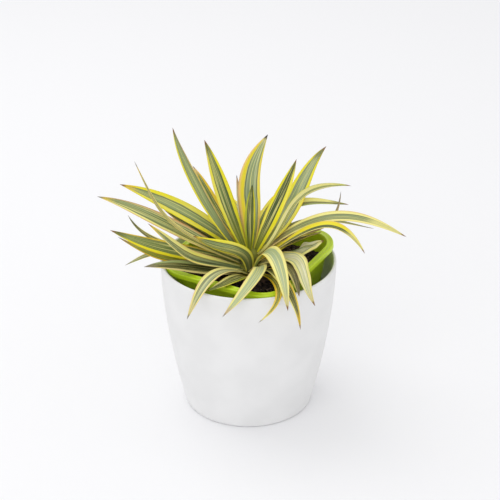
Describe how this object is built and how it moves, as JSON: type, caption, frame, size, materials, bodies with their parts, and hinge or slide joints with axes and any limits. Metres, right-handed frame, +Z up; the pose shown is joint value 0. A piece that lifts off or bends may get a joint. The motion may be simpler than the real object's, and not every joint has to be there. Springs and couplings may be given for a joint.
{
  "type": "potted variegated yucca gloriosa",
  "caption": "Young variegated yucca with a fan of stiff striped blades, in a square green grow pot set inside a round white cover pot.",
  "frame": {"origin": "centre of the cover pot's flat underside", "axes": "+Z up along the cover pot's axis; -Y is the front of the plant and +X its right seen from the front"},
  "size_m": [0.2604, 0.1886, 0.2442],
  "materials": {
    "cover_pot": "satin white",
    "grow_pot": "thin satin lime green",
    "potting_mix": "matte, crumbly, dark peat",
    "stem": "matte, wrapped in leaf bases",
    "leaf": "waxy, striped grey-green with yellow margins"
  },
  "bodies": {
    "root": {"cover_pot": "cover_pot", "grow_pot": "grow_pot", "potting_mix": "potting_mix", "stem": "stem", "leaf_01": "leaf", "leaf_02": "leaf", "leaf_03": "leaf", "leaf_04": "leaf", "leaf_05": "leaf", "leaf_06": "leaf", "leaf_07": "leaf", "leaf_08": "leaf", "leaf_09": "leaf", "leaf_10": "leaf", "leaf_11": "leaf", "leaf_12": "leaf", "leaf_13": "leaf", "leaf_14": "leaf", "leaf_15": "leaf", "leaf_16": "leaf", "leaf_17": "leaf", "leaf_18": "leaf", "leaf_19": "leaf", "leaf_20": "leaf", "leaf_21": "leaf", "leaf_22": "leaf", "leaf_23": "leaf", "leaf_24": "leaf", "leaf_25": "leaf", "leaf_26": "leaf", "leaf_27": "leaf", "leaf_28": "leaf", "leaf_29": "leaf", "leaf_30": "leaf", "leaf_31": "leaf", "leaf_32": "leaf", "leaf_33": "leaf", "leaf_34": "leaf", "leaf_35": "leaf", "leaf_36": "leaf", "leaf_37": "leaf", "leaf_38": "leaf", "leaf_39": "leaf", "leaf_40": "leaf", "leaf_41": "leaf", "leaf_42": "leaf"}
  },
  "joints": []
}
